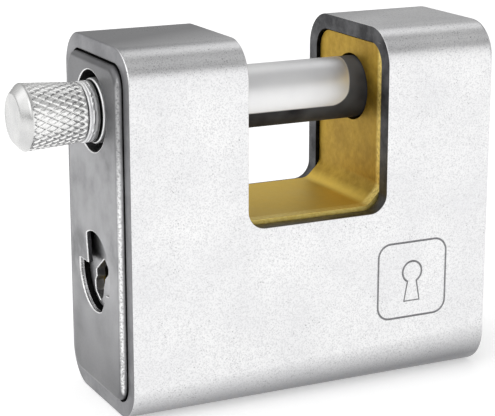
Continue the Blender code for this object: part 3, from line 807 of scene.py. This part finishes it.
def armour_casing():
    """A rounded bar, hollow from its left end, with a notch sawn through it."""
    left, right = CASING_LOW.x, CASING_HIGH.x
    rings = [casing_ring(right - back, inset) for back, inset in edge_steps(END_EDGE)]
    rings += [casing_ring(left + back, inset) for back, inset in reversed(edge_steps(RIM_EDGE, 3))]
    rings += [
        casing_ring(left, WALL - MOUTH_EDGE), casing_ring(left + MOUTH_EDGE, WALL),
        casing_ring(right - WALL, WALL),
    ]
    casing = lofted("casing_shell", rings)
    holes = []
    for name in ("core_pin_left", "core_pin_right"):
        radius, at = hole_of(name)
        holes.append(drill(radius + GAP, -PAST, WALL + PAST, "Z", at, BORE_STEPS))
    cut(casing, prism(notch_outline(), -2 * CASING_HIGH.y, 2 * CASING_HIGH.y, "Y"), *holes)
    soften(casing, CUT_EDGE)
    cut(casing, engraver(frame_outline()), engraver(keyhole_sign()))
    smooth(casing)

    def is_sawn(face):
        """The notch's two sides, its floor and its rounded corners."""
        centre, normal = face.center, face.normal
        on_side = abs(abs(centre.x) - NOTCH_HALF) < NEAR and abs(normal.x) > 0.9
        in_notch = abs(centre.x) < NOTCH_HALF + NEAR and centre.z > NOTCH_FLOOR - NEAR
        low_down = centre.z < NOTCH_FLOOR + NOTCH_CORNER and abs(normal.y) < 0.35
        return (on_side and centre.z > NOTCH_FLOOR) or (in_notch and low_down)

    def is_rim(face):
        return face.normal.x < -0.9 and face.center.x < left + NEAR

    def is_engraved(face):
        centre = face.center
        reach = MARK_HALF + PAST
        by_mark = abs(centre.x - MARK_X) < reach and abs(centre.z - MARK_Z) < reach
        return by_mark and CASING_LOW.y + HAIR < centre.y < CASING_LOW.y + 2 * MARK_LINE

    def is_inner(face):
        """The walls of the hollow, painted black as shade: within the outer skin, and facing the
        casing's middle.
        """
        centre, normal = face.center, face.normal
        skin = WALL - SLACK
        within = abs(centre.y) < CASING_HIGH.y - skin and skin < centre.z < CASING_HIGH.z - skin
        outwards = normal.y * centre.y + normal.z * (centre.z - CASING_HIGH.z / 2)
        return within and abs(normal.x) < 0.9 and outwards < 0

    paint(
        casing, PLATED, (CUT, is_sawn), (RIM, is_rim), (ENGRAVED, is_engraved),
        (SHADE_BLACK, is_inner),
    )
    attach(casing, "casing")
    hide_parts("armour_casing")


# ---- Core -------------------------------------------------------------------

def core_notch_outline():
    """Recessed sides, a raised floor and slanted corners with softened ends."""
    half = NOTCH_HALF + CORE_RECESS
    top = CASING_HIGH.z + PAST
    run = CORE_SOFTENING * math.tan(math.radians(22.5))
    low = (half - CORE_CHAMFER - run, CORE_FLOOR + CORE_SOFTENING)
    high = (half - CORE_SOFTENING, CORE_FLOOR + CORE_CHAMFER + run)
    right = arc(CORE_SOFTENING, 270, 315, 6, low) + arc(CORE_SOFTENING, 315, 360, 6, high)
    left = [(-x, z) for x, z in reversed(right)]
    return [(-half, top)] + left + right + [(half, top)]


def core_body():
    """The brass body, with every bore that the moving parts need."""
    half_y, low_z, high_z = CORE_HIGH.y, CORE_LOW.z, CORE_HIGH.z
    rings = [
        rounded_ring(x, half_y, low_z, high_z, CORE_CORNER, CORE_CORNER_STEPS)
        for x in (CORE_LOW.x, CORE_HIGH.x)
    ]
    core = lofted("brass_core", rings)
    open_end = CORE_LOW.x - PAST
    bolt_end = BOLT_HIGH.x + 2 * GAP
    cylinder_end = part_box("cam_screw")[1].x + GAP
    groove_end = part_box("rotor")[1].x
    spring_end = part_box("locking_pin_spring")[1].z + GAP
    foot_radius = (PIN_HIGH.x - PIN_LOW.x) / 2 + GAP
    bolt_at, key_at, pin_at = (0, 0, BOLT_Z), (0, 0, CYLINDER_Z), (PIN_X, 0, 0)
    sidebar_at, stop_at = (0, CYLINDER_BORE_RADIUS, CYLINDER_Z), (STOP_X, 0, BOLT_Z)
    cut(
        core,
        prism(core_notch_outline(), -2 * half_y, 2 * half_y, "Y"),
        drill(BOLT_BORE_RADIUS, open_end, bolt_end, "X", bolt_at),
        drill(CYLINDER_BORE_RADIUS, open_end, cylinder_end, "X", key_at),
        drill(foot_radius, CYLINDER_Z, spring_end, "Z", pin_at, BORE_STEPS),
        drill(PIN_BORE_RADIUS, CYLINDER_Z, BOLT_Z, "Z", pin_at, BORE_STEPS),
        drill(SIDEBAR_GROOVE_RADIUS, open_end, groove_end, "X", sidebar_at, GROOVE_STEPS),
        drill(STOP_HEAD_RADIUS, STOP_HEAD_Y, 2 * half_y, "Y", stop_at, BORE_STEPS),
        drill(STOP_BORE_RADIUS, -2 * half_y, 2 * half_y, "Y", stop_at, BORE_STEPS),
    )
    for name in ("plate_dowel_upper", "plate_dowel_lower"):
        low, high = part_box(name)
        at = (0, (low.y + high.y) / 2, (low.z + high.z) / 2)
        cut(core, drill(DOWEL_BORE_RADIUS, open_end, high.x + GAP, "X", at, SMALL_STEPS))
    for name in ("core_pin_left", "core_pin_right"):
        top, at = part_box(name)[1].z, hole_of(name)[1]
        cut(core, drill(CORE_PIN_BORE_RADIUS, 0, top + GAP, "Z", at, SMALL_STEPS))
    soften(core, CORE_EDGE)

    def is_core_in_shade(face):
        """The left end, which the plate covers, and the bolt's bore behind it, painted black as shade.
        """
        x = face.center.x
        in_bore = out_from(face, BOLT_Z) < BOLT_RADIUS + 2 * CORE_EDGE
        behind_notch = x < -NOTCH_HALF - CORE_RECESS - CORE_EDGE
        return x < CORE_LOW.x + CORE_EDGE or (in_bore and behind_notch)

    paint(core, BRASS, (SHADE_BLACK, is_core_in_shade))
    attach(core, "casing")
    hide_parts("core_body")


# ---- End plate and guard disc --------------------------------------------------

def keyhole_outline():
    """A round hole with two lugs, as (y, z) about the cylinder's axis."""
    upper = arc(KEYHOLE_RADIUS, *KEYHOLE_UPPER_ARC, KEYHOLE_UPPER_STEPS)
    lower = arc(KEYHOLE_RADIUS, *KEYHOLE_LOWER_ARC, KEYHOLE_LOWER_STEPS)
    return KEYHOLE_TOP_LUG + upper + KEYHOLE_FRONT_LUG + lower


def keyway_outline():
    """The bent key slot, as (y, z) about the cylinder's axis."""
    points = [
        (-0.5, 2.3), (-2.3, 0.9), (-2.2, -0.3), (-0.6, -1.5), (0.2, -3.4), (0.6, -5.2),
        (1.9, -6.4), (4.3, -5.0), (4.5, -3.1), (3.6, -2.1), (3.9, -0.9),
    ]
    return [(y * MM, z * MM) for y, z in points]


def edge_of_holes(front, depth, margin=0.0):
    """A test that picks the small rounded edges of the holes in a front face.

    The margin keeps it off the end plate's own rounded rim.
    """
    def picks(face):
        centre, normal = face.center, face.normal
        on_edge = front < centre.x < front + depth and 0.05 < abs(normal.x) < 0.995
        off_sides = abs(centre.y) < PLATE_HIGH.y - margin
        off_ends = PLATE_LOW.z + margin < centre.z < PLATE_HIGH.z - margin
        return on_edge and off_sides and off_ends

    return picks


def end_plate():
    """The plate in the casing's open end, with the bolt hole, the keyhole and its lugs."""
    front, back = PLATE_LOW.x, PLATE_HIGH.x

    def ring(x, inset):
        half_y, low_z, high_z = PLATE_HIGH.y - inset, PLATE_LOW.z + inset, PLATE_HIGH.z - inset
        return rounded_ring(x, half_y, low_z, high_z, CORE_CORNER - inset)

    rings = [ring(front + step, inset) for step, inset in edge_steps(PLATE_EDGE, 8)]
    plate = lofted("steel_end_plate", rings + [ring(back, 0.0)])
    lip_back = front + PLATE_LIP
    cut(
        plate,
        drill(BOLT_HOLE_RADIUS, front - PAST, back + PAST, "X", (0, 0, BOLT_Z)),
        drill(COUNTERBORE_RADIUS, lip_back, back + PAST, "X", (0, 0, CYLINDER_Z)),
        prism(raised(keyhole_outline(), CYLINDER_Z), front - PAST, lip_back + PAST / 2, "X"),
    )
    for name in ("plate_dowel_upper", "plate_dowel_lower"):
        low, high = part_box(name)
        at = (0, (low.y + high.y) / 2, (low.z + high.z) / 2)
        cut(plate, drill(DOWEL_BORE_RADIUS, low.x - GAP, back + PAST, "X", at, SMALL_STEPS))
    soften(plate, PLATE_HOLE_EDGE, 2, held_back=False)
    lip_inner = lip_back - SLACK
    is_hole_edge = edge_of_holes(front, PLATE_HOLE_EDGE, 1.5 * PLATE_EDGE)

    def is_hidden(face):
        """The sides behind the rounded rim, and the counterbore behind the keyhole, painted black as
        shade.
        """
        x, y, z = face.center
        past_edge = max(abs(y) - PLATE_HIGH.y, z - PLATE_HIGH.z, PLATE_LOW.z - z)
        on_side = x > front + PLATE_EDGE and past_edge > -CORE_CORNER / 3
        around_key = out_from(face, CYLINDER_Z) < COUNTERBORE_RADIUS + GAP
        return on_side or (around_key and x > lip_inner)

    def is_keyhole_wall(face):
        in_keyhole = out_from(face, CYLINDER_Z) < KEYHOLE_RADIUS + GAP
        return in_keyhole and front + PLATE_HOLE_EDGE < face.center.x < lip_inner

    # Hole edges, which the key rubs, and the keyhole's wall, made bright as painted highlight and
    # painted light
    def is_lit_or_rubbed(face):
        return is_hole_edge(face) or is_keyhole_wall(face)

    def is_shaded_by_top_lug(face):
        """The keyhole's wall beside its upper lug, painted dark as shade."""
        centre = face.center
        return is_keyhole_wall(face) and centre.z > CYLINDER_Z and centre.y < SHADED_WALL_TO_Y

    # Painted shade on the hidden faces and on the keyhole's wall by the upper lug; painted light on
    # the rest of that wall and a painted highlight on the hole edges
    paint(plate, PLATE, (SHADE_BLACK, is_hidden), (HIGHLIT_RUBBED, is_lit_or_rubbed), (CUT, is_shaded_by_top_lug))
    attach(plate, "casing")
    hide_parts("end_plate")


def guard_disc():
    """The turning disc behind the keyhole, with a step at its rim and the key slot."""
    radius = (GUARD_HIGH.z - GUARD_LOW.z) / 2
    front, back = GUARD_LOW.x, GUARD_HIGH.x
    shoulder = front + GUARD_STEP
    profile = [
        (front, GUARD_BOSS_RADIUS), (shoulder, GUARD_BOSS_RADIUS), (shoulder, radius), (back, radius),
    ]
    disc = turned("guard_face", profile, CYLINDER_Z)
    cut(disc, prism(raised(keyway_outline(), CYLINDER_Z), front - PAST, back + PAST, "X"))
    soften(disc, GUARD_EDGE, 2)

    def is_shadowed(face):
        on_rim = out_from(face, CYLINDER_Z) > GUARD_BOSS_RADIUS - HAIR
        return on_rim and face.center.x > front + 2 * GUARD_EDGE

    # Painted shade on the rim behind the step, and a painted highlight on the key slot's edges
    paint(disc, HARDENED, (SHADE_BLACK, is_shadowed), (HIGHLIT_RUBBED, edge_of_holes(front, GUARD_EDGE)))
    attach(disc, "cylinder")
    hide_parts("guard_disc")


# ---- Bolt and knob ------------------------------------------------------------

def bolt_rod():
    """The bolt: a shank, a thin groove, a collar with two fine rings, and the knob's stud."""
    tip, face = BOLT_HIGH.x, PLATE_LOW.x
    shank_start = face + SHANK_INSET
    groove_end = shank_start - GROOVE_WIDTH
    collar_end = face - COLLAR_PROUD
    profile = [
        (shank_start, BOLT_RADIUS - SHANK_EDGE), (shank_start, GROOVE_RADIUS),
        (groove_end, GROOVE_RADIUS), (groove_end, COLLAR_RADIUS - COLLAR_EDGE),
        (groove_end - COLLAR_EDGE, COLLAR_RADIUS),
    ]
    ring_floor = COLLAR_RADIUS - COLLAR_RING
    for start in (collar_end + 7 * COLLAR_RING, collar_end + 3.5 * COLLAR_RING):
        profile += [
            (start, COLLAR_RADIUS), (start - 0.5 * COLLAR_RING, ring_floor),
            (start - COLLAR_RING, ring_floor), (start - 1.5 * COLLAR_RING, COLLAR_RADIUS),
        ]
    profile += [
        (collar_end + COLLAR_EDGE, COLLAR_RADIUS), (collar_end, COLLAR_RADIUS - COLLAR_EDGE),
        (collar_end, STUD_RADIUS), (BOLT_LOW.x, STUD_RADIUS),
    ]
    shank_end = shank_start + SHANK_EDGE
    shaft = tip - BOLT_TIP_EDGE - shank_end
    rings = round(shaft / BOLT_RING_STEP)
    shank = [(shank_end + shaft * i / rings, BOLT_RADIUS) for i in range(rings, -1, -1)]
    bolt = turned("sliding_bolt", [(tip, BOLT_RADIUS - BOLT_TIP_EDGE)] + shank + profile, BOLT_Z)

    # The stop screw's slot, and a pocket for the pin at each end of the travel
    outside = 10 * MM
    slot_low = (STOP_X, STOP_SLOT_FLOOR, BOLT_Z - STOP_SLOT_HALF)
    slot_high = (STOP_X + BOLT_TRAVEL, outside, BOLT_Z + STOP_SLOT_HALF)
    cut(bolt, box_cutter(slot_low, slot_high))
    pocket_top = PIN_HIGH.z + PIN_LIFT + 2 * GAP
    for shift in (0.0, BOLT_TRAVEL):
        stop_at, pin_at = (STOP_X + shift, 0, BOLT_Z), (PIN_X + shift, 0, 0)
        cut(
            bolt,
            drill(STOP_SLOT_HALF, STOP_SLOT_FLOOR, outside, "Y", stop_at, SMALL_STEPS),
            drill(PIN_POCKET_RADIUS, BOLT_Z - outside, pocket_top, "Z", pin_at, BORE_STEPS),
        )
    soften(bolt, BOLT_EDGE, 2, angle=50)

    def is_in_groove(face):
        within = groove_end - COLLAR_EDGE < face.center.x < shank_start + COLLAR_EDGE
        return within and out_from(face, BOLT_Z) < COLLAR_RADIUS - COLLAR_EDGE

    # The groove is painted black as shade
    paint(bolt, CHROME, (SHADE_BLACK, is_in_groove))
    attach(bolt, "bolt")
    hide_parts("bolt_rod")


def knurl(x, angle, radius, start, end):
    """The radius of a diamond-knurled taper, plain outside start..end."""
    turns = KNURL_STARTS * angle / math.tau
    along = (x - start) / KNURL_PITCH
    fade = min(1.0, max(0.0, (x - start) / KNURL_FADE), max(0.0, (end - x) / KNURL_FADE))
    nearest = min(abs((turns + sign * along + 0.5) % 1.0 - 0.5) for sign in (-1, 1))
    return radius - KNURL_DEPTH * fade * max(0.0, 1.0 - nearest / KNURL_GROOVE)


def bolt_knob():
    """The knob: a rounded cap, a knurled grip that tapers to its base, and the stud's bore."""
    end, base = KNOB_LOW.x, KNOB_HIGH.x
    widest = end + KNOB_CAP_LENGTH
    bore = STUD_RADIUS + GAP
    bore_end = BOLT_LOW.x - GAP
    knurl_start, knurl_end = widest + KNURL_FROM_CAP, base - KNURL_FROM_BASE
    taper = (KNOB_BASE_RADIUS - KNOB_RADIUS) / (base - widest)
    cap = [(end, HAIR)] + [(end + back, KNOB_RADIUS - drop) for back, drop in KNOB_CAP]
    step = KNURL_PITCH / KNURL_DETAIL
    count = int((base - widest) / step)
    grip = [(widest + i * step, KNOB_RADIUS + taper * i * step) for i in range(count + 1)]
    hollow = [(base, KNOB_BASE_RADIUS), (base, bore), (bore_end, bore), (bore_end, HAIR)]

    def radius_at(x, angle, radius):
        if radius < KNOB_BASE_RADIUS - HAIR:
            return radius
        return knurl(x, angle, radius, knurl_start, knurl_end)

    around = KNURL_STARTS * KNURL_DETAIL
    knob = turned("knurled_knob", cap + grip + hollow, BOLT_Z, around, radius_at)
    knob.data.shade_smooth()
    knob.data.set_sharp_from_angle(angle=math.radians(40))
    paint(knob, NICKEL)
    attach(knob, "bolt")
    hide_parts("bolt_knob")


# ---- Pieces kept from the frame -----------------------------------------------

def dress_kept_pieces():
    """Better materials on the pieces inside, which keep their own shapes."""
    looks = {"rotor": BRASS, "detent_spring": SPRINGS, "locking_pin_spring": SPRINGS}
    for name, node in frame["nodes"].items():
        if node.hide_render:
            continue
        material = looks.get(name, HARDENED)
        if name.startswith("code_disc"):
            material = DISCS
        if name.startswith("disc_spacer"):
            material = BRASS
        node.data.materials.clear()
        node.data.materials.append(material)


# ---- Studio -------------------------------------------------------------------

def floor():
    """A wide round floor, which glows a little so that it stays as pale as the background."""
    mesh = bpy.data.meshes.new("floor")
    shape = bmesh.new()
    bmesh.ops.create_circle(shape, cap_ends=True, segments=96, radius=FLOOR_RADIUS)
    shape.to_mesh(mesh)
    shape.free()
    ground = link("floor", mesh)
    look = Look("pale_floor")
    soft = look.noise(2.0, 2, 0.5)
    colour = look.mix(soft, (0.86, 0.86, 0.86), (0.88, 0.88, 0.88))
    look.finish(colour, look.spread(soft, 0.3, 0.7, 0.85, 0.95), metallic=0.0)
    look.shader.inputs["Emission Color"].default_value = (1.0, 1.0, 1.0, 1.0)
    look.shader.inputs["Emission Strength"].default_value = FLOOR_GLOW
    ground.data.materials.append(look.material)


def heading(azimuth, elevation):
    """A direction: azimuth 0 is +Y (behind), 90 is +X (right); elevation is above the floor."""
    a, e = math.radians(azimuth), math.radians(elevation)
    return Vector((math.sin(a) * math.cos(e), math.cos(a) * math.cos(e), math.sin(e)))


def eye_heading():
    """From the object towards the camera."""
    return heading(180 + CAMERA_AZIMUTH, CAMERA_ELEVATION)


def mirrored(turn):
    """What the camera sees in the casing's long front top edge, turn degrees from its top."""
    angle = math.radians(turn)
    normal = Vector((0.0, -math.sin(angle), math.cos(angle)))
    to_eye = eye_heading()
    return 2 * normal.dot(to_eye) * normal - to_eye


def studio():
    """Soft round lights far away, as the world round the object, over an even ambient."""
    lights = [(name, heading(*light[:2]), *light[2:]) for name, light in BOXES.items()]
    lights += [(name, mirrored(strip[0]), *strip[1:]) for name, strip in STRIPS.items()]
    world = bpy.data.worlds.new("studio")
    world.use_nodes = True
    tree = world.node_tree
    background = tree.nodes["Background"]
    background.inputs["Color"].default_value = (1.0, 1.0, 1.0, 1.0)
    around = tree.nodes.new("ShaderNodeTexCoord").outputs["Generated"]
    total = None
    for name, towards, half, soft, power in lights:
        facing = tree.nodes.new("ShaderNodeVectorMath")
        facing.operation = "DOT_PRODUCT"
        facing.inputs[1].default_value = towards
        tree.links.new(around, facing.inputs[0])
        spread = tree.nodes.new("ShaderNodeMapRange")
        spread.interpolation_type = "SMOOTHSTEP"
        spread.inputs["From Min"].default_value = math.cos(math.radians(half + soft))
        spread.inputs["From Max"].default_value = math.cos(math.radians(max(half - soft, 0)))
        tree.links.new(facing.outputs["Value"], spread.inputs["Value"])
        strength = tree.nodes.new("ShaderNodeMath")
        strength.name = name
        strength.operation = "MULTIPLY_ADD"
        strength.inputs[1].default_value = power
        strength.inputs[2].default_value = AMBIENT
        tree.links.new(spread.outputs["Result"], strength.inputs[0])
        if total is not None:    # only the first light adds the ambient
            tree.links.new(total, strength.inputs[2])
        total = strength.outputs["Value"]
    tree.links.new(total, background.inputs["Strength"])
    bpy.context.scene.world = world
    bpy.context.scene.view_settings.view_transform = "Standard"


def camera():
    """The photo's viewing angle, on an orbit round a point near the object's middle."""
    lens = bpy.data.cameras.new("camera")
    lens.lens = CAMERA_LENS
    lens.sensor_width = 36.0
    lens.clip_start = 0.01
    eye = bpy.data.objects.new("camera", lens)
    bpy.context.scene.collection.objects.link(eye)
    middle = (Vector(CAD_BOUNDS[0]) + Vector(CAD_BOUNDS[1])) / 2
    aim = middle + Vector((CAMERA_AIM_RIGHT, 0.0, -CAMERA_AIM_DOWN))
    eye.location = aim + CAMERA_DISTANCE * eye_heading()
    eye.rotation_euler = (-eye_heading()).to_track_quat("-Z", "Y").to_euler()
    bpy.context.scene.camera = eye


camera()
floor()
studio()
armour_casing()
core_body()
end_plate()
guard_disc()
bolt_rod()
bolt_knob()
dress_kept_pieces()
